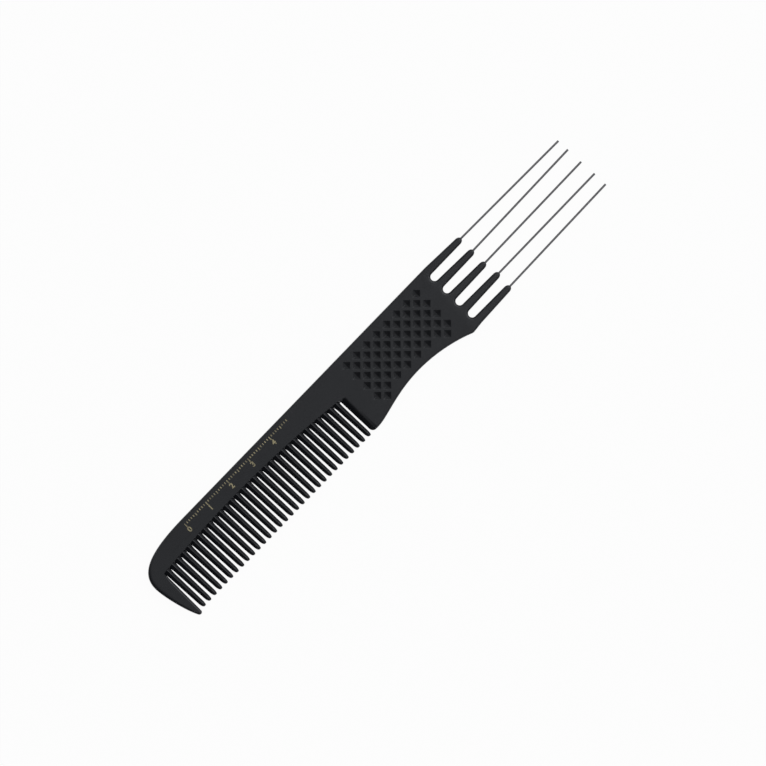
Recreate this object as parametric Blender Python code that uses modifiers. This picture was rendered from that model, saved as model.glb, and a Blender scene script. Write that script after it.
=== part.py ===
"""A hairdresser's pin comb, lying flat.

One moulding makes the spine, the fine teeth, the scooped handle with its pitted grip and the five
prongs. A steel pin is set in the end of each prong.

Metres. X runs along the comb to the pins, Y from the tooth tips to the spine, and Z is up. The
origin is under the middle of the comb, on the surface that it lies on. Places on the comb are given
along it from its left end, and in depth from the spine edge towards the tooth tips.
"""
import math

import bmesh
import bpy
from mathutils import Matrix, Vector

# The body as a whole
body_depth = 0.0265
body_thickness = 0.0040
edge_round = 0.0006

# The rounded left end and the guard tooth below it
nose_length = 0.0230
nose_depth = 0.0100
nose_spine_share = 0.72
nose_end_share = 0.69
guard_bend_depth = 0.0186
guard_bend_shares = (0.49, 0.44)
guard_inner_along = 0.0057
guard_tip_along = 0.00462
guard_tip_round = 0.00085
guard_taper_depth = 0.0120
guard_tip_thickness = 0.0026

# The fine teeth, and the arch of their roots with its drop towards each end. Above the arch each
# face slopes down to the middle plane, so that the slits run out into it.
tooth_count = 31
tooth_pitch = 0.0026145
first_tooth_along = 0.00697
tooth_lean = 0.00040
tooth_tip_inset = 0.00092
tooth_root_width = 0.00228
tooth_tip_width = 0.00172
tooth_ridge_sink = 0.00015
tooth_tip_thickness = 0.0018
tooth_tip_round = 0.00060
tooth_embed = 0.0015
root_depth = 0.0079
root_peak_share = 0.42
root_left_drop = 0.0013
root_right_drop = 0.00303
root_slope_length = 0.00085

# The shoulder beside the last tooth, and the two-faced bevel along its edge
shoulder_gap = 0.001695
shoulder_lean = 0.00028
shoulder_inset = 0.00105
shoulder_corner_round = 0.00175
shoulder_flat = 0.00262
bevel_root_width = 0.0027
bevel_tip_width = 0.0025
bevel_crease_share = 0.57
bevel_crease_sink = 0.0003
bevel_edge_height = 0.00015

# The handle from the shoulder to the prongs, and the scoop in its lower edge
handle_length = 0.0514
scoop_inset = 0.00447
scoop_middle_share = 0.494
scoop_fall_shares = (0.475, 0.20)
scoop_bend_share = 0.713
scoop_rise_shares = (0.60, 0.67)
heel_length = 0.0043
heel_inset = 0.00015
heel_round = 0.0020

# The prongs and the round-ended slots between them, and how far each prong reaches past the first
prong_length = 0.0153
first_prong_root_depth = 0.00141
last_prong_root_inset = 0.00197
first_prong_tip_depth = 0.00170
last_prong_tip_inset = 0.00212
prong_root_width = 0.00282
prong_tip_width = 0.00222
prong_tip_round = 0.0014
prong_taper_length = 0.0178
prong_tip_thickness = 0.0027
prong_reach = (0.0, 0.0, 0.0002, 0.0006, 0.0)

# The grip: square pits set corner to corner along the handle, on both faces
pit_row_depth = 0.00384
pit_row_pitch = 0.002374
pit_end_gap = 0.00823
pit_long_row_count = 8
pit_full_rows = 7
pit_diagonal = 0.0037
pit_sink = 0.0008

# The steel pins from the spine down: how far each stands short of the longest, and how far its tip
# drifts towards the spine
pin_diameter = 0.0008
pin_free_length = 0.0462
pin_seat_length = 0.0120
pin_short = (0.0006, 0.00046, 0.00033, 0.0, 0.0)
pin_drift = (-0.00069, 0.00071, 0.00043, 0.00017, 0.00078)
pin_clearance = 0.00025

# How far a cut runs past the surface that it starts from
cut_overrun = 0.0001

# How finely the curves are stepped
bend_steps = 14
arc_steps = 5
guard_tip_steps = 8
slot_steps = 12
prong_tip_steps = 10
edge_segments = 3
tooth_sides = 6
tooth_tip_segments = 2
pin_sides = 16
pin_dome_steps = 3

# A face whose normal stands up by more than this share belongs to the top or the bottom
cap_normal_share = 0.5

# Worked out from the sizes above
prong_count = len(pin_short)
pin_radius = pin_diameter / 2
weld_distance = cut_overrun / 100
guard_split_along = guard_inner_along + cut_overrun
tooth_tip_depth = body_depth - tooth_tip_inset
tooth_root_thickness = body_thickness - 2 * tooth_ridge_sink
shoulder_root_along = first_tooth_along + (tooth_count - 1) * tooth_pitch + shoulder_gap
shoulder_root_depth = root_depth + root_right_drop
shoulder_tip_along = shoulder_root_along + shoulder_lean
shoulder_depth = body_depth - shoulder_inset
scoop_start_along = shoulder_tip_along + shoulder_flat
scoop_middle_along = shoulder_root_along + handle_length * scoop_middle_share
scoop_bend_along = shoulder_root_along + handle_length * scoop_bend_share
scoop_depth = body_depth - scoop_inset
prong_root_along = shoulder_root_along + handle_length
body_length = prong_root_along + prong_length
prong_taper_along = body_length - prong_taper_length
comb_length = body_length + pin_free_length


def place(along, depth):
    """The point of the comb's middle plane at a place on the comb."""
    return Vector((along - comb_length / 2, body_depth / 2 - depth, 0))


def along_of(point):
    return point.x + comb_length / 2


def depth_of(point):
    return body_depth / 2 - point.y


def between(start, end, share):
    return start + (end - start) * share


def turned(vector, angle):
    """A vector of the middle plane, turned anticlockwise."""
    return Matrix.Rotation(angle, 3, 'Z') @ vector


def bezier(start, start_handle, end_handle, end):
    """Points of a curve from start up to, but not with, its end."""
    points = []
    for step in range(bend_steps):
        t = step / bend_steps
        s = 1 - t
        points.append(s * s * s * start + 3 * s * s * t * start_handle
                      + 3 * s * t * t * end_handle + t * t * t * end)
    return points


def bend(start, corner, end, shares):
    """A curve that leaves start towards a corner and arrives at end from that corner."""
    return bezier(start, between(start, corner, shares[0]), between(end, corner, shares[1]), end)


def rounded_corner(before, corner, after, radius):
    """An arc in place of a corner between two straight edges."""
    towards_before = (before - corner).normalized()
    towards_after = (after - corner).normalized()
    half_angle = towards_before.angle(towards_after) / 2
    centre = corner + (towards_before + towards_after).normalized() * radius / math.sin(half_angle)
    reach = radius / math.tan(half_angle)
    first = corner + towards_before * reach - centre
    last = corner + towards_after * reach - centre
    points = []
    for step in range(arc_steps + 1):
        points.append(centre + radius * first.slerp(last, step / arc_steps))
    return points


def rounded_tip(before, centre, after, radius):
    """A clockwise arc about a centre, touched by the straight edges from before and to after."""
    before_way = before - centre
    after_way = after - centre
    first = turned(before_way, -math.acos(radius / before_way.length)).normalized()
    last = turned(after_way, math.acos(radius / after_way.length)).normalized()
    sweep = math.atan2(first.cross(last).z, first.dot(last)) % -math.tau
    points = []
    for step in range(guard_tip_steps + 1):
        points.append(centre + radius * turned(first, sweep * step / guard_tip_steps))
    return points


def half_oval(centre, forward, side, steps):
    """Half an oval that bulges forward, from the negative side to the positive one."""
    points = []
    for step in range(steps + 1):
        angle = math.pi * step / steps
        points.append(centre + forward * math.sin(angle) - side * math.cos(angle))
    return points


def prong_root_centre(index):
    last_depth = body_depth - last_prong_root_inset
    depth = between(first_prong_root_depth, last_depth, index / (prong_count - 1))
    return place(prong_root_along, depth)


def prong_tip_centre(index):
    last_depth = body_depth - last_prong_tip_inset
    depth = between(first_prong_tip_depth, last_depth, index / (prong_count - 1))
    return place(body_length + prong_reach[index], depth)


def prong_outline(index):
    """The rounded end of one prong, from its spine side to its tooth side."""
    oval_centre = prong_tip_centre(index) + Vector((-prong_tip_round, 0, 0))
    forward = Vector((prong_tip_round, 0, 0))
    side = Vector((0, -prong_tip_width / 2, 0))
    return half_oval(oval_centre, forward, side, prong_tip_steps)


def slot_outline(index):
    """The round end of the slot after one prong, where the prong's lower edge meets the next."""
    upper = prong_root_centre(index) + Vector((0, -prong_root_width / 2, 0))
    lower = prong_root_centre(index + 1) + Vector((0, prong_root_width / 2, 0))
    centre = between(upper, lower, 0.5)
    side = lower - centre
    forward = Vector((-side.length, 0, 0))
    return half_oval(centre, forward, side, slot_steps)


def handle_outline():
    """The lower edge from the last prong round the heel and the scoop to the shoulder's root."""
    prong_corner = prong_root_centre(prong_count - 1) + Vector((0, -prong_root_width / 2, 0))
    heel = place(prong_root_along - heel_length, body_depth - heel_inset)
    scoop_bend = place(scoop_bend_along, scoop_depth)
    scoop_middle = place(scoop_middle_along, scoop_depth)
    scoop_corner = place(scoop_start_along, scoop_depth)
    scoop_start = place(scoop_start_along, shoulder_depth)
    shoulder_tip = place(shoulder_tip_along, shoulder_depth)
    shoulder_root = place(shoulder_root_along, shoulder_root_depth)

    heel_arc = rounded_corner(prong_corner, heel, scoop_bend, heel_round)
    points = [prong_corner]
    points += heel_arc[:-1]
    points += bend(heel_arc[-1], scoop_bend, scoop_middle, scoop_rise_shares)
    middle_handle = between(scoop_middle, scoop_corner, scoop_fall_shares[0])
    start_handle = between(scoop_start, place(scoop_middle_along, shoulder_depth), scoop_fall_shares[1])
    points += bezier(scoop_middle, middle_handle, start_handle, scoop_start)
    points.append(scoop_start)
    points += rounded_corner(scoop_start, shoulder_tip, shoulder_root, shoulder_corner_round)
    return points


def root_outline():
    """The arch of the tooth roots, from the shoulder to the guard tooth."""
    shoulder_root = place(shoulder_root_along, shoulder_root_depth)
    guard_root = place(guard_inner_along, root_depth + root_left_drop)
    peak_along = between(guard_inner_along, shoulder_root_along, root_peak_share)
    peak = place(peak_along, root_depth)
    right_corner = place(between(peak_along, shoulder_root_along, 0.5), root_depth)
    left_corner = place(between(peak_along, guard_inner_along, 0.5), root_depth)
    parabola_shares = (2 / 3, 2 / 3)
    points = bend(shoulder_root, right_corner, peak, parabola_shares)
    points += bend(peak, left_corner, guard_root, parabola_shares)
    points.append(guard_root)
    return points


def left_end_outline(guard_root, spine_start):
    """The guard tooth and the rounded left end, up to the start of the straight spine."""
    guard_centre = place(guard_tip_along, body_depth - guard_tip_round)
    guard_bend = place(0, guard_bend_depth)
    nose_end = place(0, nose_depth)
    guard_arc = rounded_tip(guard_root, guard_centre, guard_bend, guard_tip_round)
    points = guard_arc[:-1]
    points += bend(guard_arc[-1], guard_bend, nose_end, guard_bend_shares)
    points += bend(nose_end, place(0, 0), spine_start, (nose_end_share, nose_spine_share))
    return points


def body_outline():
    """The body's outline without the teeth, clockwise from the left end of the straight spine."""
    spine_start = place(nose_length, 0)
    points = [spine_start]
    points.append(prong_root_centre(0) + Vector((0, prong_root_width / 2, 0)))
    for index in range(prong_count):
        points += prong_outline(index)
        if index < prong_count - 1:
            points += slot_outline(index)
    points += handle_outline()
    points += root_outline()
    points += left_end_outline(points[-1], spine_start)
    return points


def half_thickness(point):
    """Half the body's thickness at a point: the prongs and the guard tooth thin to their tips."""
    along = along_of(point)
    depth = depth_of(point)
    thickness = body_thickness
    if along > prong_taper_along:
        share = (along - prong_taper_along) / prong_taper_length
        thickness = between(body_thickness, prong_tip_thickness, share)
    if along < guard_split_along and depth > guard_taper_depth:
        share = (depth - guard_taper_depth) / (body_depth - guard_taper_depth)
        thickness = between(body_thickness, guard_tip_thickness, share)
    return thickness / 2


def new_collection(name):
    collection = bpy.data.collections.new(name)
    bpy.context.scene.collection.children.link(collection)
    return collection


def add_object(name, mesh, collection):
    """A new object for a mesh, standing on the frame at the height of the body's middle plane."""
    new_object = bpy.data.objects.new(name, mesh)
    collection.objects.link(new_object)
    new_object.parent = comb_frame
    return new_object


def mesh_of(bm, name):
    """The finished mesh, with its faces turned outwards."""
    bmesh.ops.recalc_face_normals(bm, faces=bm.faces)
    mesh = bpy.data.meshes.new(name)
    bm.to_mesh(mesh)
    bm.free()
    return mesh


def material(name, colour, metallic, roughness):
    finish = bpy.data.materials.new(name)
    finish.use_nodes = True
    shader = finish.node_tree.nodes['Principled BSDF']
    shader.inputs['Base Color'].default_value = (*colour, 1)
    shader.inputs['Metallic'].default_value = metallic
    shader.inputs['Roughness'].default_value = roughness
    return finish


def flat_blank(points):
    """A plate of the body's thickness with the given outline, as a mesh."""
    curve = bpy.data.curves.new('body_outline', 'CURVE')
    curve.dimensions = '2D'
    curve.fill_mode = 'BOTH'
    curve.extrude = body_thickness / 2
    spline = curve.splines.new('POLY')
    spline.points.add(len(points) - 1)
    for spline_point, point in zip(spline.points, points):
        spline_point.co = (point.x, point.y, 0, 1)
    spline.use_cyclic_u = True
    outline = bpy.data.objects.new('body_outline', curve)
    bpy.context.scene.collection.objects.link(outline)
    depsgraph = bpy.context.evaluated_depsgraph_get()
    mesh = bpy.data.meshes.new_from_object(outline.evaluated_get(depsgraph))
    bpy.data.objects.remove(outline)
    return mesh


def split_faces(bm, faces, point, normal):
    """Cuts a set of faces along a plane and keeps both sides."""
    edges = {edge for face in faces for edge in face.edges}
    verts = {vert for face in faces for vert in face.verts}
    geometry = list(verts) + list(edges) + list(faces)
    bmesh.ops.bisect_plane(bm, geom=geometry, dist=weld_distance, plane_co=point, plane_no=normal)


def slope_roots(bm):
    """Draws both faces back from the arch of the tooth roots, and gives the points that moved."""
    roots = root_outline()
    sloped = set()
    for vert in bm.verts:
        on_a_face = abs(vert.co.z) > weld_distance
        if on_a_face and any((vert.co.xy - point.xy).length < weld_distance for point in roots):
            vert.co.y += root_slope_length
            sloped.add(vert)
    return sloped


def body_blank():
    """The plate of the body, its edges still square.

    It is thinned along the prongs and the guard tooth, and split along its middle plane, down to
    which the faces slope at the tooth roots.
    """
    flat_mesh = flat_blank(body_outline())
    bm = bmesh.new()
    bm.from_mesh(flat_mesh)
    bpy.data.meshes.remove(flat_mesh)
    bmesh.ops.remove_doubles(bm, verts=bm.verts, dist=weld_distance)
    for side in (1, -1):
        cap = [face for face in bm.faces if face.normal.z * side > cap_normal_share]
        bmesh.ops.dissolve_faces(bm, faces=cap)
    split_faces(bm, list(bm.faces), place(prong_taper_along, 0), Vector((1, 0, 0)))
    split_faces(bm, list(bm.faces), place(guard_split_along, 0), Vector((1, 0, 0)))
    left_faces = [face for face in bm.faces if along_of(face.calc_center_median()) < guard_split_along]
    split_faces(bm, left_faces, place(0, guard_taper_depth), Vector((0, 1, 0)))
    split_faces(bm, list(bm.faces), place(0, 0), Vector((0, 0, 1)))

    sloped = slope_roots(bm)
    for vert in bm.verts:
        if abs(vert.co.z) > weld_distance:
            vert.co.z = math.copysign(half_thickness(vert.co), vert.co.z)
    bm.normal_update()

    weights = bm.edges.layers.float.new('bevel_weight_edge')
    for edge in bm.edges:
        caps = [face for face in edge.link_faces if abs(face.normal.z) > cap_normal_share]
        edge[weights] = len(caps) == 1 and not sloped.issuperset(edge.verts)
    return mesh_of(bm, 'comb_body')


def add_tooth(bm, index):
    """One tooth: a six-sided bar with a ridge along each face, narrower and thinner at its tip."""
    start_depth = root_depth - tooth_embed
    tooth = bmesh.ops.create_cone(bm, cap_ends=True, segments=tooth_sides, radius1=1, radius2=1, depth=1)
    for vert in tooth['verts']:
        depth = tooth_tip_depth if vert.co.z > 0 else start_depth
        share = (depth - root_depth) / (tooth_tip_depth - root_depth)
        half_width = between(tooth_root_width, tooth_tip_width, share) / 2
        half_height = between(tooth_root_thickness, tooth_tip_thickness, share) / 2
        middle = first_tooth_along + index * tooth_pitch + tooth_lean * share
        across = vert.co.x / math.cos(math.pi / tooth_sides)
        vert.co = place(middle + across * half_width, depth) + Vector((0, 0, vert.co.y * half_height))


def tooth_row():
    bm = bmesh.new()
    for index in range(tooth_count):
        add_tooth(bm, index)
    tip_start = tooth_tip_depth - weld_distance
    tip_edges = [edge for edge in bm.edges if all(depth_of(vert.co) > tip_start for vert in edge.verts)]
    bmesh.ops.bevel(bm, geom=tip_edges, offset=tooth_tip_round, segments=tooth_tip_segments,
                    affect='EDGES', profile=0.5)
    return mesh_of(bm, 'tooth_row')


def bevel_ring(middle, inwards, width, sink_share):
    """The section of the shoulder's bevel cut at a point of the edge, above the middle plane.

    The cut's two faces meet at a crease. At a sink share of zero it only skims over the surface.
    """
    surface = body_thickness / 2
    top = surface + cut_overrun
    crease = between(top, surface - bevel_crease_sink, sink_share)
    edge = between(top, bevel_edge_height, sink_share)
    section = ((-cut_overrun, top + cut_overrun), (-cut_overrun, edge),
               (width * bevel_crease_share, crease), (width, top), (width, top + cut_overrun))
    return [middle + inwards * reach + Vector((0, 0, height)) for reach, height in section]


def shoulder_bevels():
    """The cuts that bevel both faces along the shoulder's edge and run out above its root."""
    root = place(shoulder_root_along, shoulder_root_depth)
    tip = place(shoulder_tip_along, shoulder_depth)
    down = (tip - root).normalized()
    inwards = turned(down, math.pi / 2)
    rings = (
        bevel_ring(root - down * root_slope_length, inwards, bevel_root_width, 0),
        bevel_ring(root, inwards, bevel_root_width, 1),
        bevel_ring(tip + down * cut_overrun, inwards, bevel_tip_width, 1),
    )
    bm = bmesh.new()
    for side in (1, -1):
        loops = []
        for ring in rings:
            loops.append([bm.verts.new((point.x, point.y, point.z * side)) for point in ring])
        for upper, lower in zip(loops, loops[1:]):
            for index in range(len(upper)):
                bm.faces.new((upper[index - 1], upper[index], lower[index], lower[index - 1]))
        bm.faces.new(loops[0])
        bm.faces.new(loops[-1])
    return mesh_of(bm, 'shoulder_bevels')


def pit_centres():
    """The places of the grip's pits. The row nearest the scoop has only its two end pits."""
    centres = []
    last_along = prong_root_along - pit_end_gap
    for row in range(pit_full_rows + 1):
        count = pit_long_row_count - row % 2
        row_end = last_along - row % 2 * pit_row_pitch
        columns = range(count) if row < pit_full_rows else (0, count - 1)
        for column in columns:
            along = row_end - column * 2 * pit_row_pitch
            centres.append(place(along, pit_row_depth + row * pit_row_pitch))
    return centres


def grip_pits():
    """Four-sided points that sink a pit into each face at every centre."""
    height = pit_sink + cut_overrun
    radius = pit_diagonal / 2 * height / pit_sink
    bm = bmesh.new()
    for centre in pit_centres():
        for side in (1, -1):
            turn = Matrix.Rotation(math.pi if side > 0 else 0, 4, 'X')
            lift = Vector((0, 0, side * (body_thickness / 2 + cut_overrun - height / 2)))
            bmesh.ops.create_cone(bm, cap_ends=True, segments=4, radius1=radius, radius2=0, depth=height,
                                  matrix=Matrix.Translation(centre + lift) @ turn)
    bmesh.ops.remove_doubles(bm, verts=bm.verts, dist=weld_distance)
    return mesh_of(bm, 'grip_pits')


def pin_heading(index):
    """From the prong's tip to the tip of its pin."""
    length = pin_free_length - pin_short[index] - prong_reach[index]
    return Vector((length, pin_drift[index], 0))


def pin_bores():
    """The holes that the pins are moulded into, open at the prongs' tips."""
    length = pin_seat_length + pin_clearance + cut_overrun
    radius = pin_radius + pin_clearance
    bm = bmesh.new()
    for index in range(prong_count):
        heading = pin_heading(index).normalized()
        middle = prong_tip_centre(index) + heading * (cut_overrun - length / 2)
        turn = heading.to_track_quat('Z', 'Y').to_matrix().to_4x4()
        bmesh.ops.create_cone(bm, cap_ends=True, segments=pin_sides, radius1=radius, radius2=radius,
                              depth=length, matrix=Matrix.Translation(middle) @ turn)
    return mesh_of(bm, 'pin_bores')


def join_or_cut(body, operand_mesh, operation):
    """Joins a hidden shape to the body, or cuts the body with it.

    The solver for closed meshes does it, because the exact one leaves edges open in the body's large
    faces, where the teeth, the pits and the line that starts the prongs' taper crowd their points.
    """
    operand = add_object(operand_mesh.name, operand_mesh, cutters)
    operand.display_type = 'WIRE'
    operand.hide_render = True
    change = body.modifiers.new(operand_mesh.name, 'BOOLEAN')
    change.solver = 'MANIFOLD'
    change.operation = operation
    change.object = operand


def add_comb_body():
    """The moulding: a rounded plate with the teeth joined on, then bevelled, pitted and bored."""
    body = add_object('comb_body', body_blank(), parts)
    rounding = body.modifiers.new('rounded_edges', 'BEVEL')
    rounding.limit_method = 'WEIGHT'
    rounding.width = edge_round
    rounding.segments = edge_segments
    rounding.use_clamp_overlap = False
    join_or_cut(body, shoulder_bevels(), 'DIFFERENCE')
    join_or_cut(body, tooth_row(), 'UNION')
    join_or_cut(body, grip_pits(), 'DIFFERENCE')
    join_or_cut(body, pin_bores(), 'DIFFERENCE')
    body.data.materials.append(material('black_moulding', (0.026, 0.026, 0.028), 0.0, 0.45))


def pin_mesh(name, length):
    """The outline that turns into a pin, from its domed tip down its side to its moulded-in end."""
    bm = bmesh.new()
    verts = []
    for step in range(pin_dome_steps + 1):
        angle = math.pi / 2 * step / pin_dome_steps
        height = length - pin_radius + pin_radius * math.cos(angle)
        verts.append(bm.verts.new((pin_radius * math.sin(angle), 0, height)))
    verts.append(bm.verts.new((pin_radius, 0, -pin_seat_length)))
    verts.append(bm.verts.new((0, 0, -pin_seat_length)))
    for upper, lower in zip(verts, verts[1:]):
        bm.edges.new((upper, lower))
    mesh = bpy.data.meshes.new(name)
    bm.to_mesh(mesh)
    bm.free()
    return mesh


def add_pin(index):
    """A steel pin, turned about its own axis and laid along its heading from the prong's tip."""
    name = f'pin_{index + 1}'
    heading = pin_heading(index)
    pin = add_object(name, pin_mesh(name, heading.length), parts)
    pin.location = prong_tip_centre(index)
    pin.rotation_euler = heading.to_track_quat('Z', 'Y').to_euler()
    turn = pin.modifiers.new('turn', 'SCREW')
    turn.steps = pin_sides
    turn.render_steps = pin_sides
    turn.use_merge_vertices = True
    turn.merge_threshold = weld_distance
    turn.use_smooth_shade = True
    pin.data.materials.append(material(name + '_steel', (0.50, 0.50, 0.51), 1.0, 0.28))


for old_object in list(bpy.data.objects):
    bpy.data.objects.remove(old_object)

parts = new_collection('metal_pin_comb')
cutters = new_collection('cutters')
comb_frame = bpy.data.objects.new('comb_frame', None)
comb_frame.location = (0, 0, body_thickness / 2)
parts.objects.link(comb_frame)

add_comb_body()
for prong in range(prong_count):
    add_pin(prong)
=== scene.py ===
import math

import bmesh
import bpy
from mathutils import Matrix, Vector, kdtree


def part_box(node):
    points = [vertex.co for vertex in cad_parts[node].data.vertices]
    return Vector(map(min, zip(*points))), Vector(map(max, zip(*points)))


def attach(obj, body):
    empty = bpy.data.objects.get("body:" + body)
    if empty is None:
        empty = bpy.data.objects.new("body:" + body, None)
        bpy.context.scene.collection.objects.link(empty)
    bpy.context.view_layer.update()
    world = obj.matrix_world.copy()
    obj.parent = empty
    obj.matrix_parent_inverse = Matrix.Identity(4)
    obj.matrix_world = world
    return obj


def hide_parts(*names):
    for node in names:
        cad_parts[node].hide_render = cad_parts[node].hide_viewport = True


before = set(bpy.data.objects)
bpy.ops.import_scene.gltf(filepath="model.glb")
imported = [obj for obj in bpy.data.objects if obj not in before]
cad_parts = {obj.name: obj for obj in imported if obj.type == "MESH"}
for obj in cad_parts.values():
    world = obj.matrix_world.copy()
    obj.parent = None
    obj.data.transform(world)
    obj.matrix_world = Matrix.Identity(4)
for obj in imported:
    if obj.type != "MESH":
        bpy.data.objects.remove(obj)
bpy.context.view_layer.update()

# The plate of the comb: the spine, the rounded left end with its guard tooth, the shoulder, the
# scooped handle and the five prongs. It is the flat body of one black moulding, with rounded edges.
# The prongs and the guard tooth thin towards their tips, and the slits run out in slopes.
body_low, body_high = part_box("comb_body")
# How far each prong ends beyond the others' common line, from the spine down.
prong_reach = (0, 0, -0.0001, 0.0006, 0)
body_length = body_high.x - body_low.x - max(prong_reach)
body_depth = body_high.y - body_low.y
body_thickness = body_high.z - body_low.z
face_height = body_thickness / 2
edge_round = 0.00075
edge_segments = 6
cut_overrun = 0.0001
weld_distance = 0.000001

nose_length = 0.0230
nose_depth = 0.0100
nose_end_share = 0.69
nose_spine_share = 0.72
guard_bend_depth = 0.0186
guard_bend_shares = (0.49, 0.44)
guard_inner_along = 0.0057
guard_tip_along = 0.00462
guard_tip_round = 0.00085
guard_taper_depth = 0.0120
guard_tip_thickness = 0.0026
guard_split_along = guard_inner_along + cut_overrun
left_round_swell = 1.3
left_round_limit_share = 1.25

tooth_count = 31
tooth_pitch = 0.0026145
first_tooth_along = 0.00697
root_depth = 0.0079
root_peak_share = 0.42
root_left_drop = 0.0013
root_right_drop = 0.00303
root_slope_length = 0.00085
root_arch_shares = (2 / 3, 2 / 3)

shoulder_gap = 0.001695
shoulder_lean = 0.00028
shoulder_inset = 0.00105
shoulder_flat = 0.00262
shoulder_root_along = first_tooth_along + (tooth_count - 1) * tooth_pitch + shoulder_gap
shoulder_root_depth = root_depth + root_right_drop
shoulder_tip_along = shoulder_root_along + shoulder_lean
shoulder_depth = body_depth - shoulder_inset
shoulder_corner_round = 0.00175
root_peak_along = guard_inner_along + (shoulder_root_along - guard_inner_along) * root_peak_share

handle_length = 0.0514
scoop_inset = 0.00447
scoop_middle_share = 0.494
scoop_bend_share = 0.713
scoop_start_along = shoulder_tip_along + shoulder_flat
scoop_middle_along = shoulder_root_along + handle_length * scoop_middle_share
scoop_bend_along = shoulder_root_along + handle_length * scoop_bend_share
scoop_depth = body_depth - scoop_inset
scoop_fall_shares = (0.475, 0.20)
scoop_rise_shares = (0.60, 0.67)
heel_length = 0.0043
heel_inset = 0.00005
heel_round = 0.0020

prong_count = 5
prong_root_along = shoulder_root_along + handle_length
prong_root_depths = (0.00141, body_depth - 0.00197)
prong_tip_depths = (0.00170, body_depth - 0.00212)
prong_root_width = 0.00302
prong_tip_width = 0.00236
prong_tip_round = 0.0016
prong_taper_length = 0.0186
prong_tip_thickness = 0.0027
prong_taper_along = body_length - prong_taper_length

bend_steps = 36
arc_steps = 10
tip_steps = 18
cap_normal_share = 0.5
smooth_angle = math.radians(33)


def place(along, depth):
    """The point of the comb's middle plane at a place along it and in depth from the spine edge."""
    return Vector((body_low.x + along, body_high.y - depth, 0))


def between(start, end, share):
    return start + (end - start) * share


def bezier(start, start_handle, end_handle, end):
    """Points of a curve from start up to, but not with, its end."""
    points = []
    for step in range(bend_steps):
        t = step / bend_steps
        s = 1 - t
        points.append(s * s * s * start + 3 * s * s * t * start_handle
                      + 3 * s * t * t * end_handle + t * t * t * end)
    return points


def bend(start, corner, end, shares):
    """A curve that leaves start towards a corner and arrives at end from that corner."""
    return bezier(start, between(start, corner, shares[0]), between(end, corner, shares[1]), end)


def rounded_corner(before, corner, after, radius):
    """An arc in place of a corner between two straight edges."""
    towards_before = (before - corner).normalized()
    towards_after = (after - corner).normalized()
    half_angle = towards_before.angle(towards_after) / 2
    centre = corner + (towards_before + towards_after).normalized() * radius / math.sin(half_angle)
    reach = radius / math.tan(half_angle)
    first = (corner + towards_before * reach - centre).normalized()
    last = (corner + towards_after * reach - centre).normalized()
    return [centre + radius * first.slerp(last, step / arc_steps) for step in range(arc_steps + 1)]


def rounded_tip(before, centre, after, radius):
    """A clockwise arc about a centre, touched by the straight edges from before and to after."""
    before_way = before - centre
    after_way = after - centre
    before_turn = Matrix.Rotation(-math.acos(radius / before_way.length), 3, "Z")
    after_turn = Matrix.Rotation(math.acos(radius / after_way.length), 3, "Z")
    first = (before_turn @ before_way).normalized()
    last = (after_turn @ after_way).normalized()
    sweep = math.atan2(first.cross(last).z, first.dot(last)) % -math.tau
    points = []
    for step in range(tip_steps + 1):
        points.append(centre + radius * (Matrix.Rotation(sweep * step / tip_steps, 3, "Z") @ first))
    return points


def half_oval(centre, forward, side):
    """Half an oval that bulges forward, from the negative side to the positive one."""
    points = []
    for step in range(tip_steps + 1):
        angle = math.pi * step / tip_steps
        points.append(centre + forward * math.sin(angle) - side * math.cos(angle))
    return points


def prong_root(index):
    return place(prong_root_along, between(*prong_root_depths, index / (prong_count - 1)))


def prong_tip(index):
    depth = between(*prong_tip_depths, index / (prong_count - 1))
    return place(body_length + prong_reach[index], depth)


def prong_and_slot_outline():
    """The five rounded prong ends, with the round end of the slot after each but the last."""
    half_root = Vector((0, prong_root_width / 2, 0))
    forward = Vector((prong_tip_round, 0, 0))
    points = [prong_root(0) + half_root]
    for index in range(prong_count):
        points += half_oval(prong_tip(index) - forward, forward, Vector((0, -prong_tip_width / 2, 0)))
        if index < prong_count - 1:
            upper = prong_root(index) - half_root
            lower = prong_root(index + 1) + half_root
            side = (lower - upper) / 2
            points += half_oval(upper + side, Vector((-side.length, 0, 0)), side)
    points.append(prong_root(prong_count - 1) - half_root)
    return points


def handle_outline(prong_corner):
    """The lower edge round the heel, the scoop and the shoulder's corner."""
    heel = place(prong_root_along - heel_length, body_depth - heel_inset)
    scoop_bend = place(scoop_bend_along, scoop_depth)
    scoop_middle = place(scoop_middle_along, scoop_depth)
    scoop_start = place(scoop_start_along, shoulder_depth)
    heel_arc = rounded_corner(prong_corner, heel, scoop_bend, heel_round)
    points = heel_arc[:-1]
    points += bend(heel_arc[-1], scoop_bend, scoop_middle, scoop_rise_shares)
    middle_handle = between(scoop_middle, place(scoop_start_along, scoop_depth), scoop_fall_shares[0])
    start_handle = between(scoop_start, place(scoop_middle_along, shoulder_depth), scoop_fall_shares[1])
    points += bezier(scoop_middle, middle_handle, start_handle, scoop_start)
    points.append(scoop_start)
    points += rounded_corner(scoop_start, place(shoulder_tip_along, shoulder_depth),
                             place(shoulder_root_along, shoulder_root_depth), shoulder_corner_round)
    return points


def root_outline():
    """The arch of the tooth roots, from the shoulder to the guard tooth."""
    peak = place(root_peak_along, root_depth)
    guard_root = place(guard_inner_along, root_depth + root_left_drop)
    shoulder_root = place(shoulder_root_along, shoulder_root_depth)
    right_corner = place(between(root_peak_along, shoulder_root_along, 0.5), root_depth)
    left_corner = place(between(root_peak_along, guard_inner_along, 0.5), root_depth)
    points = bend(shoulder_root, right_corner, peak, root_arch_shares)
    points += bend(peak, left_corner, guard_root, root_arch_shares)
    points.append(guard_root)
    return points


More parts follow.
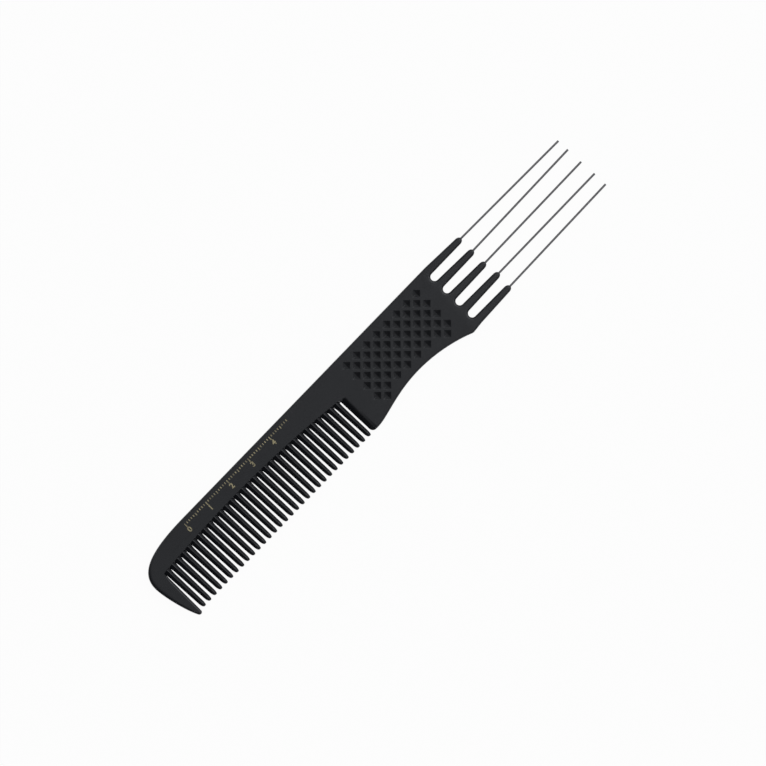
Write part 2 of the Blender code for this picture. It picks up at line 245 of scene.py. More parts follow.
def left_end_outline(guard_root, spine_start):
    """The guard tooth and the rounded left end, up to the start of the straight spine."""
    guard_centre = place(guard_tip_along, body_depth - guard_tip_round)
    guard_bend = place(0, guard_bend_depth)
    nose_end = place(0, nose_depth)
    guard_arc = rounded_tip(guard_root, guard_centre, guard_bend, guard_tip_round)
    points = guard_arc[:-1]
    points += bend(guard_arc[-1], guard_bend, nose_end, guard_bend_shares)
    points += bend(nose_end, place(0, 0), spine_start, (nose_end_share, nose_spine_share))
    return points


def half_thickness(point):
    """Half the plate's thickness at a point."""
    along = point.x - body_low.x
    depth = body_high.y - point.y
    thickness = body_thickness
    if along > prong_taper_along:
        share = (along - prong_taper_along) / prong_taper_length
        thickness = between(body_thickness, prong_tip_thickness, share)
    if along < guard_split_along and depth > guard_taper_depth:
        share = (depth - guard_taper_depth) / (body_depth - guard_taper_depth)
        thickness = between(body_thickness, guard_tip_thickness, share)
    return thickness / 2


def finished_mesh(source):
    """The plain mesh of an object, with its modifiers applied."""
    depsgraph = bpy.context.evaluated_depsgraph_get()
    return bpy.data.meshes.new_from_object(source.evaluated_get(depsgraph))


def taken_mesh(source):
    """The plain mesh of an object, which is then removed."""
    mesh = finished_mesh(source)
    bpy.data.objects.remove(source)
    return mesh


def settle(piece):
    """Makes a piece's modifiers part of its mesh."""
    piece.data = finished_mesh(piece)
    piece.modifiers.clear()


def new_object(name, data):
    made = bpy.data.objects.new(name, data)
    bpy.context.scene.collection.objects.link(made)
    return made


def mesh_of(bm, name):
    """The finished mesh, with its faces turned outwards."""
    bmesh.ops.recalc_face_normals(bm, faces=bm.faces)
    mesh = bpy.data.meshes.new(name)
    bm.to_mesh(mesh)
    bm.free()
    return mesh


def split_faces(bm, faces, point, normal):
    """Cuts a set of faces along a plane and keeps both sides."""
    edges = {edge for face in faces for edge in face.edges}
    verts = {vert for face in faces for vert in face.verts}
    geometry = list(verts) + list(edges) + list(faces)
    bmesh.ops.bisect_plane(bm, geom=geometry, dist=weld_distance, plane_co=point, plane_no=normal)


def flat_plate(points):
    """A plate of the body's thickness with the given outline, its two faces each in one piece."""
    curve = bpy.data.curves.new("comb_outline", "CURVE")
    curve.dimensions = "2D"
    curve.fill_mode = "BOTH"
    curve.extrude = face_height
    spline = curve.splines.new("POLY")
    spline.points.add(len(points) - 1)
    for spline_point, point in zip(spline.points, points):
        spline_point.co = (point.x, point.y, 0, 1)
    spline.use_cyclic_u = True
    bm = bmesh.new()
    bm.from_mesh(taken_mesh(new_object("comb_outline", curve)))
    bmesh.ops.remove_doubles(bm, verts=bm.verts, dist=weld_distance)
    for side in (1, -1):
        cap = [face for face in bm.faces if face.normal.z * side > cap_normal_share]
        bmesh.ops.dissolve_faces(bm, faces=cap)
    return bm


def slope_roots(bm, roots):
    """Draws both faces back from the arch of the tooth roots, and gives the points that moved."""
    sloped = set()
    for vert in bm.verts:
        on_a_face = abs(vert.co.z) > weld_distance
        if on_a_face and any((vert.co.xy - point.xy).length < weld_distance for point in roots):
            vert.co.y += root_slope_length
            sloped.add(vert)
    return sloped


def comb_plate():
    """The plate with its tapers and slopes, marked where its edges are to be rounded."""
    spine_start = place(nose_length, 0)
    roots = root_outline()
    points = [spine_start] + prong_and_slot_outline()
    points += handle_outline(points[-1])
    points += roots
    points += left_end_outline(roots[-1], spine_start)
    bm = flat_plate(points)
    split_faces(bm, list(bm.faces), place(prong_taper_along, 0), Vector((1, 0, 0)))
    split_faces(bm, list(bm.faces), place(guard_split_along, 0), Vector((1, 0, 0)))
    left_faces = [face for face in bm.faces
                  if face.calc_center_median().x < body_low.x + guard_split_along]
    split_faces(bm, left_faces, place(0, guard_taper_depth), Vector((0, 1, 0)))
    seam = [edge for edge in bm.edges
            if all(abs(vert.co.x - body_low.x - guard_split_along) < weld_distance for vert in edge.verts)]
    bmesh.ops.dissolve_edges(bm, edges=seam, use_verts=True)
    split_faces(bm, list(bm.faces), place(0, 0), Vector((0, 0, 1)))
    sloped = slope_roots(bm, roots)
    for vert in bm.verts:
        if abs(vert.co.z) > weld_distance:
            vert.co.z = math.copysign(half_thickness(vert.co), vert.co.z)
    bm.normal_update()
    weights = bm.edges.layers.float.new("bevel_weight_edge")
    for edge in bm.edges:
        caps = [face for face in edge.link_faces if abs(face.normal.z) > cap_normal_share]
        edge[weights] = len(caps) == 1 and not sloped.issuperset(edge.verts)
    return mesh_of(bm, "comb_plate")


def widen_left_rounding(mesh):
    """Draws the rounded edge further in round the left end, the most at its middle."""
    guard_root = place(guard_inner_along, root_depth + root_left_drop)
    # The guard tooth's round tip comes first in the outline, and keeps its narrow edge.
    outline = left_end_outline(guard_root, place(nose_length, 0))[tip_steps:]
    tree = kdtree.KDTree(len(outline))
    for index, point in enumerate(outline):
        tree.insert(point, index)
    tree.balance()
    for vert in mesh.vertices:
        across = Vector((vert.co.x, vert.co.y, 0))
        edge, index, gap = tree.find(across)
        if gap < edge_round * left_round_limit_share:
            swell = left_round_swell * math.sin(math.pi * index / (len(outline) - 1)) ** 2
            vert.co += (across - edge) * swell


moulding = new_object("comb_moulding", comb_plate())
rounding = moulding.modifiers.new("rounded_edges", "BEVEL")
rounding.limit_method = "WEIGHT"
rounding.width = edge_round
rounding.segments = edge_segments
rounding.use_clamp_overlap = False
settle(moulding)
widen_left_rounding(moulding.data)


# The fine teeth: 31 six-sided bars, which lean a little towards the handle. They are moulded in one
# with the plate. Each has a ridge along both faces, a little off its middle, flares at its root,
# narrows and thins to its rounded tip, and has its corners eased as a mould leaves them.
tooth_sides = 6
tooth_lean = 0.00040
tooth_tip_inset = 0.00092
tooth_overlap = 0.0015
tooth_tip_depth = body_depth - tooth_tip_inset
tooth_length = tooth_tip_depth - root_depth
tooth_start_depth = root_depth - tooth_overlap
tooth_widths = (0.00228, 0.00172)
tooth_root_step = 0.0003
tooth_tip_thickness = 0.0018
tooth_thicknesses = (body_thickness - tooth_root_step, tooth_tip_thickness)
tooth_flare_width = 0.00031
tooth_flare_length = 0.0018
tooth_flare_rings = 6
tooth_tip_round = 0.0022
tooth_tip_bluntness = 0.65
tooth_tip_drift_share = 0.13
tooth_ease_share = 0.12
tooth_ridge_drift_share = 0.16
tooth_tip_rings = 8


def eased_section():
    """A six-sided section one unit in reach, its first corner up, with every corner eased."""
    corners = []
    for side in range(tooth_sides):
        angle = math.tau * side / tooth_sides
        across = math.sin(angle) / math.cos(math.pi / tooth_sides)
        if side % (tooth_sides // 2) == 0:
            across = tooth_ridge_drift_share
        corners.append(Vector((across, math.cos(angle))))
    points = []
    for before, corner, after in zip(corners[-1:] + corners, corners, corners[1:] + corners[:1]):
        start = between(corner, before, tooth_ease_share)
        end = between(corner, after, tooth_ease_share)
        points += [start, (start + 2 * corner + end) / 4, end]
    return points


def loft(bm, rings):
    """A closed skin over rings of equally many points."""
    loops = [[bm.verts.new(point) for point in ring] for ring in rings]
    for upper, lower in zip(loops, loops[1:]):
        for index in range(len(upper)):
            bm.faces.new((upper[index - 1], upper[index], lower[index], lower[index - 1]))
    bm.faces.new(loops[0])
    bm.faces.new(loops[-1])


def tooth_width(depth):
    """The width of a tooth, which flares at its root until it all but meets the next one."""
    share = (depth - root_depth) / tooth_length
    flare_share = 1 - (depth - root_depth) / tooth_flare_length
    return between(*tooth_widths, share) + tooth_flare_width * min(max(flare_share, 0), 1) ** 2


def tooth_mesh():
    """One tooth, with its origin at its tip. The last ring is small, and closes the tip."""
    section = eased_section()
    stations = [(tooth_start_depth, 1)]
    for step in range(tooth_flare_rings + 1):
        stations.append((root_depth + tooth_flare_length * step / tooth_flare_rings, 1))
    stations.append((tooth_tip_depth - tooth_tip_round, 1))
    for step in range(1, tooth_tip_rings + 1):
        angle = math.pi / 2 * step / (tooth_tip_rings + 0.5)
        depth = tooth_tip_depth - tooth_tip_round * (1 - math.sin(angle))
        stations.append((depth, math.cos(angle) ** tooth_tip_bluntness))
    rings = []
    for depth, fullness in stations:
        share = (depth - root_depth) / tooth_length
        width = tooth_width(depth)
        reach = width / 2 * fullness
        height = between(*tooth_thicknesses, share) / 2 * fullness
        along = tooth_lean * share + width * tooth_tip_drift_share * (1 - fullness)
        rings.append([Vector((along + point.x * reach, tooth_tip_depth - depth, point.y * height))
                      for point in section])
    bm = bmesh.new()
    loft(bm, rings)
    return mesh_of(bm, "fine_tooth")


def new_group(kind, name, inputs, outputs):
    """A group of nodes with named inputs and outputs, and what they give and take inside it."""
    tree = bpy.data.node_groups.new(name, kind)
    for way, sockets in (("OUTPUT", outputs), ("INPUT", inputs)):
        for socket_name, socket_kind in sockets:
            tree.interface.new_socket(socket_name, in_out=way, socket_type="NodeSocket" + socket_kind)
    return tree, tree.nodes.new("NodeGroupInput").outputs, tree.nodes.new("NodeGroupOutput").inputs


def new_tree(name, inputs):
    """A tree of geometry nodes with named inputs, which makes a shape."""
    tree, given, output = new_group("GeometryNodeTree", name, inputs, (("Geometry", "Geometry"),))
    tree.is_modifier = True
    return tree, given, output


def add_node(tree, kind, inputs, **settings):
    """A new node. Each of its inputs takes a link from another node's output, or a plain value."""
    node = tree.nodes.new(kind)
    for name, value in settings.items():
        setattr(node, name, value)
    for key, value in inputs.items():
        if isinstance(value, bpy.types.NodeSocket):
            tree.links.new(value, node.inputs[key])
        else:
            node.inputs[key].default_value = value
    return node


def reckon(tree, operation, first, second):
    """The result of one step of arithmetic, or of a comparison that gives 1 or 0."""
    return add_node(tree, "ShaderNodeMath", {0: first, 1: second}, operation=operation).outputs[0]


def multiply(tree, first, second):
    return reckon(tree, "MULTIPLY", first, second)


def subtract(tree, first, second):
    return reckon(tree, "SUBTRACT", first, second)


def choose(tree, test, if_not, if_so):
    return add_node(tree, "GeometryNodeSwitch", {
        "Switch": test, "False": if_not, "True": if_so}, input_type="FLOAT").outputs[0]


def vector_of(tree, x, y, z):
    return add_node(tree, "ShaderNodeCombineXYZ", {0: x, 1: y, 2: z}).outputs[0]


def finish_tree(tree, geometry, material, output):
    """Makes the copies real, gives them their material and hands them on."""
    real = add_node(tree, "GeometryNodeRealizeInstances", {0: geometry}).outputs[0]
    finished = add_node(tree, "GeometryNodeSetMaterial", {"Geometry": real, "Material": material})
    tree.links.new(finished.outputs[0], output)


def grown_mesh(name, tree, values):
    """The plain mesh that a tree makes with the given values for its named inputs."""
    holder = new_object(name, bpy.data.meshes.new(name))
    nodes = holder.modifiers.new(tree.name, "NODES")
    nodes.node_group = tree
    for item in tree.interface.items_tree:
        if item.item_type == "SOCKET" and item.in_out == "INPUT":
            nodes[item.identifier] = values[item.name]
    mesh = taken_mesh(holder)
    mesh.name = name
    return mesh


def tooth_row_tree():
    """Copies of a tooth at an even pitch, each shortened so that its root lies on the arch."""
    tree, given, output = new_tree("tooth_row", (
        ("Tooth", "Object"), ("Count", "Int"), ("Pitch", "Float"), ("First Tip", "Vector"),
        ("Arch Peak", "Float"), ("Left Fall", "Float"), ("Right Fall", "Float"),
        ("Material", "Material")))
    tooth = add_node(tree, "GeometryNodeObjectInfo", {"Object": given["Tooth"]})
    line = add_node(tree, "GeometryNodeMeshLine", {
        "Count": given["Count"], "Start Location": given["First Tip"],
        "Offset": vector_of(tree, given["Pitch"], 0, 0)})
    place_of_point = tree.nodes.new("GeometryNodeInputPosition").outputs[0]
    along = add_node(tree, "ShaderNodeSeparateXYZ", {0: place_of_point}).outputs["X"]
    off_peak = subtract(tree, along, given["Arch Peak"])
    on_left = reckon(tree, "LESS_THAN", off_peak, 0)
    fall = choose(tree, on_left, given["Right Fall"], given["Left Fall"])
    shortening = multiply(tree, multiply(tree, off_peak, off_peak), fall)
    size = vector_of(tree, 1, subtract(tree, 1, shortening), 1)
    copies = add_node(tree, "GeometryNodeInstanceOnPoints", {
        "Points": line.outputs[0], "Instance": tooth.outputs["Geometry"], "Scale": size})
    finish_tree(tree, copies.outputs[0], given["Material"], output[0])
    return tree


def join_or_cut(mesh, operation):
    """Joins a closed shape to the moulding, or cuts the moulding with it."""
    operand = new_object(mesh.name, mesh)
    change = moulding.modifiers.new(mesh.name, "BOOLEAN")
    change.solver = "MANIFOLD"
    change.operation = operation
    change.object = operand
    settle(moulding)
    bpy.data.objects.remove(operand)


black_moulding = bpy.data.materials.new("black_moulding")
tooth = new_object("fine_tooth", tooth_mesh())
teeth = grown_mesh("tooth_row", tooth_row_tree(), {
    "Tooth": tooth,
    "Count": tooth_count,
    "Pitch": tooth_pitch,
    "First Tip": place(first_tooth_along, tooth_tip_depth),
    "Arch Peak": place(root_peak_along, 0).x,
    "Left Fall": root_left_drop / (root_peak_along - guard_inner_along) ** 2 / tooth_length,
    "Right Fall": root_right_drop / (shoulder_root_along - root_peak_along) ** 2 / tooth_length,
    "Material": black_moulding,
})
bpy.data.objects.remove(tooth)


# The bevel along the shoulder, beside the last slit. The mould cuts it into both faces. It is a
# steep face and a shallow one that meet at a crease, and it runs out above the end of the slit.
bevel_root_width = 0.0030
bevel_tip_width = 0.0028
bevel_crease_share = 0.52
bevel_crease_sink = 0.0003
bevel_edge_height = 0.0005


def bevel_ring(middle, inwards, width, sink_share, side):
    """The section of the bevel cut at a point of the edge. At no sink it only skims the face."""
    top = face_height + cut_overrun
    crease = between(top, face_height - bevel_crease_sink, sink_share)
    edge = between(top, bevel_edge_height, sink_share)
    section = ((-cut_overrun, top + cut_overrun), (-cut_overrun, edge),
               (width * bevel_crease_share, crease), (width, top), (width, top + cut_overrun))
    return [middle + inwards * reach + Vector((0, 0, height * side)) for reach, height in section]


def shoulder_bevels():
    root = place(shoulder_root_along, shoulder_root_depth)
    tip = place(shoulder_tip_along, shoulder_depth)
    down = (tip - root).normalized()
    inwards = Vector((-down.y, down.x, 0))
    bm = bmesh.new()
    for side in (1, -1):
        loft(bm, (
            bevel_ring(root - down * root_slope_length, inwards, bevel_root_width, 0, side),
            bevel_ring(root, inwards, bevel_root_width, 1, side),
            bevel_ring(tip + down * cut_overrun, inwards, bevel_tip_width, 1, side),
        ))
    return mesh_of(bm, "shoulder_bevels")


join_or_cut(shoulder_bevels(), "DIFFERENCE")
join_or_cut(teeth, "UNION")


# The grip: rows of square pits sunk into both faces of the handle, set corner to corner. Their rims
# and corners are eased, and each ends in a small flat floor, as the mould's points leave them.
pit_pitch = 0.002374
pit_row_depth = 0.00384
pit_end_gap = 0.00823
pit_long_count = 8
pit_long_rows = 4
pit_half_diagonal = 0.00185
pit_sink = 0.0008
pit_rim_width = 0.00014
pit_rim_sink = 0.00006
pit_floor_share = 0.05
pit_corner_share = 0.07


def pit_ring(half_diagonal, height):
    """A square with cut corners, its corners along and across the comb."""
    points = []
    for turn in range(4):
        corner = Vector((math.cos(turn * math.pi / 2), math.sin(turn * math.pi / 2), 0))
        across = Vector((-corner.y, corner.x, 0))
        for cut in (-pit_corner_share, pit_corner_share):
            point = corner * (1 - abs(cut)) + across * cut
            points.append(point * half_diagonal + Vector((0, 0, height)))
    return points


def pit_pair():
    """The cutter of two pits that face each other through the plate, one in each face."""
    rim = pit_half_diagonal + pit_rim_width
    flare = rim + pit_rim_width * cut_overrun / pit_rim_sink
    bm = bmesh.new()
    for side in (1, -1):
        loft(bm, (
            pit_ring(flare, (face_height + cut_overrun) * side),
            pit_ring(pit_half_diagonal - pit_rim_width, (face_height - pit_rim_sink) * side),
            pit_ring(pit_half_diagonal * pit_floor_share, (face_height - pit_sink) * side),
        ))
    return mesh_of(bm, "grip_pit")


def grip_tree():
    """Pits on long rows, on the shorter rows between them, and at both ends of one last row."""
    tree, given, output = new_tree("grip_pits", (
        ("Pit", "Object"), ("Long Count", "Int"), ("Long Rows", "Int"), ("Pitch", "Float"),
        ("Middle", "Vector"), ("Material", "Material")))
    pit = add_node(tree, "GeometryNodeObjectInfo", {"Object": given["Pit"]})
    step = multiply(tree, given["Pitch"], 2)
    long_gaps = subtract(tree, given["Long Count"], 1)
    short_gaps = subtract(tree, long_gaps, 1)
    row_gaps = subtract(tree, given["Long Rows"], 1)
    short_row_gaps = subtract(tree, row_gaps, 1)
    long_rows = add_node(tree, "GeometryNodeMeshGrid", {
        "Vertices X": given["Long Count"], "Vertices Y": given["Long Rows"],
        "Size X": multiply(tree, long_gaps, step), "Size Y": multiply(tree, row_gaps, step)})
    short_rows = add_node(tree, "GeometryNodeMeshGrid", {
        "Vertices X": long_gaps, "Vertices Y": row_gaps,
        "Size X": multiply(tree, short_gaps, step), "Size Y": multiply(tree, short_row_gaps, step)})
    end_reach = multiply(tree, short_gaps, given["Pitch"])
    end_down = multiply(tree, multiply(tree, given["Long Rows"], given["Pitch"]), -1)
    end_row = add_node(tree, "GeometryNodeMeshLine", {
        "Count": 2,
        "Start Location": vector_of(tree, multiply(tree, end_reach, -1), end_down, 0),
        "Offset": vector_of(tree, end_reach, end_down, 0)}, mode="END_POINTS")
    joined = tree.nodes.new("GeometryNodeJoinGeometry")
    for rows in (long_rows, short_rows, end_row):
        tree.links.new(rows.outputs[0], joined.inputs[0])
    moved = add_node(tree, "GeometryNodeTransform", {
        "Geometry": joined.outputs[0], "Translation": given["Middle"]})
    copies = add_node(tree, "GeometryNodeInstanceOnPoints", {
        "Points": moved.outputs[0], "Instance": pit.outputs["Geometry"]})
    finish_tree(tree, copies.outputs[0], given["Material"], output[0])
    return tree


pit = new_object("grip_pit", pit_pair())
grip_middle = place(prong_root_along - pit_end_gap - (pit_long_count - 1) * pit_pitch,
                    pit_row_depth + (pit_long_rows - 1) * pit_pitch)
pits = grown_mesh("grip_pits", grip_tree(), {
    "Pit": pit,
    "Long Count": pit_long_count,
    "Long Rows": pit_long_rows,
    "Pitch": pit_pitch,
    "Middle": grip_middle,
    "Material": black_moulding,
})
bpy.data.objects.remove(pit)
join_or_cut(pits, "DIFFERENCE")


# The finish of the moulding: black plastic from a satin mould. It has a fine grain, faint clouds
# in colour and gloss, and a few hairlines from use. Then the moulding takes its place.
moulding_dark = (0.0036, 0.0040, 0.0056, 1)
moulding_light = (0.0058, 0.0064, 0.0088, 1)
moulding_gloss = (0.31, 0.42)
moulding_specular = 0.5
moulding_specular_tint = (0.93, 0.955, 1, 1)
grain_size = 0.00022
grain_depth = 0.000006
cloud_size = 0.009
hairline_size = 0.0016
hairline_turn = 0.35
hairline_stretch = (0.05, 1, 1)
hairline_range = (0.60, 0.72)
hairline_polish = 0.10
# How many finer layers each pattern has, and how strong each is beside the one before.
grain_layers = (3, 0.6)
cloud_layers = (5, 0.55)
hairline_layers = (4, 0.7)


def noise(tree, vector, size, layers):
    """Smooth, uneven shades from 0 to 1, in patches of about the size given."""
    return add_node(tree, "ShaderNodeTexNoise", {
        "Vector": vector, "Scale": reckon(tree, "DIVIDE", 1, size),
        "Detail": layers[0], "Roughness": layers[1]}).outputs[0]


def pick_range(tree, value, low, high):
    """Stretches one range of a value so that it runs from 0 to 1."""
    return add_node(tree, "ShaderNodeMapRange", {
        "Value": value, "From Min": low, "From Max": high}).outputs[0]


def spread(tree, value, low, high):
    """Stretches a value that runs from 0 to 1 over another range."""
    return add_node(tree, "ShaderNodeMapRange", {
        "Value": value, "To Min": low, "To Max": high}).outputs[0]


def surface_wear_group():
    """Fine grain, broad clouds and long hairlines over a surface, each from 0 to 1."""
    tree, given, output = new_group(
        "ShaderNodeTree", "surface_wear",
        (("Vector", "Vector"), ("Grain Size", "Float"), ("Cloud Size", "Float"),
         ("Hairline Size", "Float"), ("Hairline Turn", "Vector")),
        (("Grain", "Float"), ("Clouds", "Float"), ("Hairlines", "Float")))
    surface = given["Vector"]
    stretched = add_node(tree, "ShaderNodeMapping", {
        "Vector": surface, "Rotation": given["Hairline Turn"], "Scale": hairline_stretch}).outputs[0]
    streaks = noise(tree, stretched, given["Hairline Size"], hairline_layers)
    hairlines = pick_range(tree, streaks, *hairline_range)
    tree.links.new(noise(tree, surface, given["Grain Size"], grain_layers), output["Grain"])
    tree.links.new(noise(tree, surface, given["Cloud Size"], cloud_layers), output["Clouds"])
    tree.links.new(hairlines, output["Hairlines"])
    return tree


surface_wear = surface_wear_group()


def worn_surface(tree, grain, clouds, hairlines, turn):
    """The wear group, placed in a material on the piece's own coordinates."""
    coordinates = tree.nodes.new("ShaderNodeTexCoord").outputs["Object"]
    return add_node(tree, "ShaderNodeGroup", {
        "Vector": coordinates, "Grain Size": grain, "Cloud Size": clouds,
        "Hairline Size": hairlines, "Hairline Turn": (0, 0, turn)}, node_tree=surface_wear).outputs


def shader_of(material):
    material.use_nodes = True
    return material.node_tree, material.node_tree.nodes["Principled BSDF"].inputs


def blend_colours(tree, share, first, second):
    return add_node(tree, "ShaderNodeMix", {0: share, 6: first, 7: second}, data_type="RGBA").outputs[2]


def relief(tree, height, distance):
    return add_node(tree, "ShaderNodeBump", {"Height": height, "Distance": distance}).outputs[0]


def finish_black_moulding():
    tree, shader = shader_of(black_moulding)
    wear = worn_surface(tree, grain_size, cloud_size, hairline_size, hairline_turn)
    colour = blend_colours(tree, wear["Clouds"], moulding_dark, moulding_light)
    tree.links.new(colour, shader["Base Color"])
    gloss = subtract(tree, spread(tree, wear["Clouds"], *moulding_gloss),
                     multiply(tree, wear["Hairlines"], hairline_polish))
    tree.links.new(gloss, shader["Roughness"])
    tree.links.new(relief(tree, wear["Grain"], grain_depth), shader["Normal"])
    shader["Specular IOR Level"].default_value = moulding_specular
    shader["Specular Tint"].default_value = moulding_specular_tint


def smooth(piece):
    """Shades a piece smooth but for its sharp edges, and keeps its flat faces flat."""
    piece.data.shade_smooth()
    piece.data.set_sharp_from_angle(angle=smooth_angle)
    even = piece.modifiers.new("even_normals", "WEIGHTED_NORMAL")
    even.keep_sharp = True
    settle(piece)


def coat(piece, material):
    """Gives a piece one material all over."""
    piece.data.materials.clear()
    piece.data.materials.append(material)


finish_black_moulding()
moulding.data.transform(Matrix.Translation((0, 0, body_low.z + face_height)))
smooth(moulding)
coat(moulding, black_moulding)
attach(moulding, "root")
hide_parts("comb_body")


# The scale on the spine: a plain centimetre scale in thin gold foil, pressed onto the face with a
# hot stamp. It has a mark at each millimetre, longer ones at 5 and 10, and plain numerals.
foil_thickness = 0.00002
scale_start_along = 0.0222
scale_depth = 0.0017
mark_count = 49
marks_to_half = 5
marks_to_centimetre = 10
mark_pitch = 0.001
mark_width = 0.00034
mark_lengths = (0.0007, 0.00105, 0.0014)
numeral_size = 0.0026
numeral_depth = 0.0051
numeral_swell = 0.00008
foil_colour = (0.41, 0.365, 0.225, 1)
foil_worn_colour = (0.21, 0.187, 0.12, 1)
foil_rub_size = 0.0012
foil_rub_range = (0.42, 0.62)
foil_gloss = (0.38, 0.60)
foil_metal = (0.75, 0.25)


def scale_tree():
    """Upright marks in a row, hung from one line. Every fifth is longer, and every tenth longest."""
    tree, given, output = new_tree("scale_marks", (
        ("Count", "Int"), ("Pitch", "Float"), ("Width", "Float"), ("Thickness", "Float"),
        ("Short", "Float"), ("Middle", "Float"), ("Long", "Float"), ("Start", "Vector"),
        ("Material", "Material")))
    line = add_node(tree, "GeometryNodeMeshLine", {
        "Count": given["Count"], "Start Location": given["Start"],
        "Offset": vector_of(tree, given["Pitch"], 0, 0)})
    index = tree.nodes.new("GeometryNodeInputIndex").outputs[0]
    length = given["Short"]
    for every, longer in ((marks_to_half, given["Middle"]), (marks_to_centimetre, given["Long"])):
        on_it = reckon(tree, "LESS_THAN", reckon(tree, "MODULO", index, every), 0.5)
        length = choose(tree, on_it, length, longer)
    hung = add_node(tree, "GeometryNodeSetPosition", {
        "Geometry": line.outputs[0], "Offset": vector_of(tree, 0, multiply(tree, length, -0.5), 0)})
    bar = add_node(tree, "GeometryNodeMeshCube", {"Size": (1, 1, 1)})
    size = vector_of(tree, given["Width"], length, given["Thickness"])
    copies = add_node(tree, "GeometryNodeInstanceOnPoints", {
        "Points": hung.outputs[0], "Instance": bar.outputs[0], "Scale": size})
    finish_tree(tree, copies.outputs[0], given["Material"], output[0])
    return tree


def numeral_mesh(text, spot):
    """A plain numeral in foil, centred along the comb on its mark."""
    curve = bpy.data.curves.new("numeral", "FONT")
    curve.body = text
    curve.size = numeral_size
    curve.align_x = "CENTER"
    curve.offset = numeral_swell
    curve.extrude = foil_thickness / 2
    mesh = taken_mesh(new_object("numeral", curve))
    mesh.transform(Matrix.Translation(spot))
    return mesh


def finish_gold_foil(foil):
    tree, shader = shader_of(foil)
    wear = worn_surface(tree, grain_size, foil_rub_size, hairline_size, hairline_turn)
    rubbed = pick_range(tree, wear["Clouds"], *foil_rub_range)
    tree.links.new(blend_colours(tree, rubbed, foil_colour, foil_worn_colour), shader["Base Color"])
    tree.links.new(spread(tree, rubbed, *foil_gloss), shader["Roughness"])
    tree.links.new(spread(tree, rubbed, *foil_metal), shader["Metallic"])
    tree.links.new(relief(tree, wear["Grain"], grain_depth), shader["Normal"])


gold_foil = bpy.data.materials.new("gold_foil")
finish_gold_foil(gold_foil)
face_top = Vector((0, 0, body_high.z + foil_thickness / 2))
marks = grown_mesh("scale_marks", scale_tree(), {
    "Count": mark_count,
    "Pitch": mark_pitch,
    "Width": mark_width,
    "Thickness": foil_thickness,
    "Short": mark_lengths[0],
    "Middle": mark_lengths[1],
    "Long": mark_lengths[2],
    "Start": place(scale_start_along, scale_depth) + face_top,
    "Material": gold_foil,
})
foil_bm = bmesh.new()
foil_bm.from_mesh(marks)
for centimetre, mark in enumerate(range(0, mark_count, marks_to_centimetre)):
    numeral_place = place(scale_start_along + mark * mark_pitch, numeral_depth)
    foil_bm.from_mesh(numeral_mesh(str(centimetre), numeral_place + face_top))
bmesh.ops.remove_doubles(foil_bm, verts=foil_bm.verts, dist=weld_distance)
foil_scale = new_object("foil_scale", mesh_of(foil_bm, "foil_scale"))
coat(foil_scale, gold_foil)
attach(foil_scale, "root")


# The steel pins: five lengths of plain drawn wire with eased ends. They are set in the prongs when
# the body is moulded, so that the plastic closes round them. The mould leaves the ends uneven.
pin_radius = 0.00037
pin_free_length = 0.0462
pin_short = (0.0006, 0.00046, 0.00033, 0, 0)
pin_drift = (-0.00069, 0.00071, 0.00043, 0.00017, 0.00078)
pin_seat_length = 0.0120
pin_end_round = 0.00016
pin_sides = 32
pin_end_steps = 4
steel_colour = (0.225, 0.225, 0.235, 1)
steel_dull_colour = (0.195, 0.195, 0.205, 1)
steel_gloss = (0.26, 0.40)
steel_grain_size = 0.00012
steel_cloud_size = 0.004
drawing_line_size = 0.00020
drawing_line_turn = 0
drawing_line_polish = 0.08
drawing_line_depth = 0.000002


def pin_mesh(index):
    """A turned profile, taken round its axis and laid from the prong's tip towards the pin's own."""
    length = pin_free_length - pin_short[index] - prong_reach[index]
    heading = Vector((length, pin_drift[index], 0))
    profile = [(0, -pin_seat_length), (pin_radius, -pin_seat_length)]
    for step in range(pin_end_steps + 1):
        angle = math.pi / 2 * step / pin_end_steps
        profile.append((pin_radius - pin_end_round * (1 - math.cos(angle)),
                        heading.length - pin_end_round * (1 - math.sin(angle))))
    profile.append((0, heading.length))
    angles = [math.tau * side / pin_sides for side in range(pin_sides)]
    bm = bmesh.new()
    loft(bm, [[(reach * math.cos(angle), reach * math.sin(angle), height) for angle in angles]
              for reach, height in profile])
    bmesh.ops.remove_doubles(bm, verts=bm.verts, dist=weld_distance)
    turn = heading.to_track_quat("Z", "Y").to_matrix().to_4x4()
    start = prong_tip(index) + Vector((0, 0, body_low.z + face_height))
    bm.transform(Matrix.Translation(start) @ turn)
    return mesh_of(bm, "steel_pin")


def finish_drawn_steel(steel):
    tree, shader = shader_of(steel)
    wear = worn_surface(tree, steel_grain_size, steel_cloud_size, drawing_line_size, drawing_line_turn)
    colour = blend_colours(tree, wear["Clouds"], steel_colour, steel_dull_colour)
    tree.links.new(colour, shader["Base Color"])
    shader["Metallic"].default_value = 1
    gloss = subtract(tree, spread(tree, wear["Clouds"], *steel_gloss),
                     multiply(tree, wear["Hairlines"], drawing_line_polish))
    tree.links.new(gloss, shader["Roughness"])
    tree.links.new(relief(tree, wear["Hairlines"], drawing_line_depth), shader["Normal"])


drawn_steel = bpy.data.materials.new("drawn_steel")
finish_drawn_steel(drawn_steel)
for pin_index in range(prong_count):
    pin = new_object(f"steel_pin_{pin_index + 1}", pin_mesh(pin_index))
    smooth(pin)
    coat(pin, drawn_steel)
    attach(pin, "root")
    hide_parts(f"pin_{pin_index + 1}")


# The table, the light and the camera. The comb lies on a pale table that shows white, with only a
# trace of shadow. A soft lamp stands high beyond the pins. The room is dark beyond the left end,
# brightest a little to the left of overhead, and dimmer and even beyond the pins.
table_reach = 8.0
table_cells = 8
table_white = 1.0
table_colour = (0.80, 0.80, 0.80, 1)
shadow_share = 0.04
key_azimuth = math.radians(3)
key_elevation = math.radians(55)
key_distance = 2.6
key_size = 2.2
key_power = 27
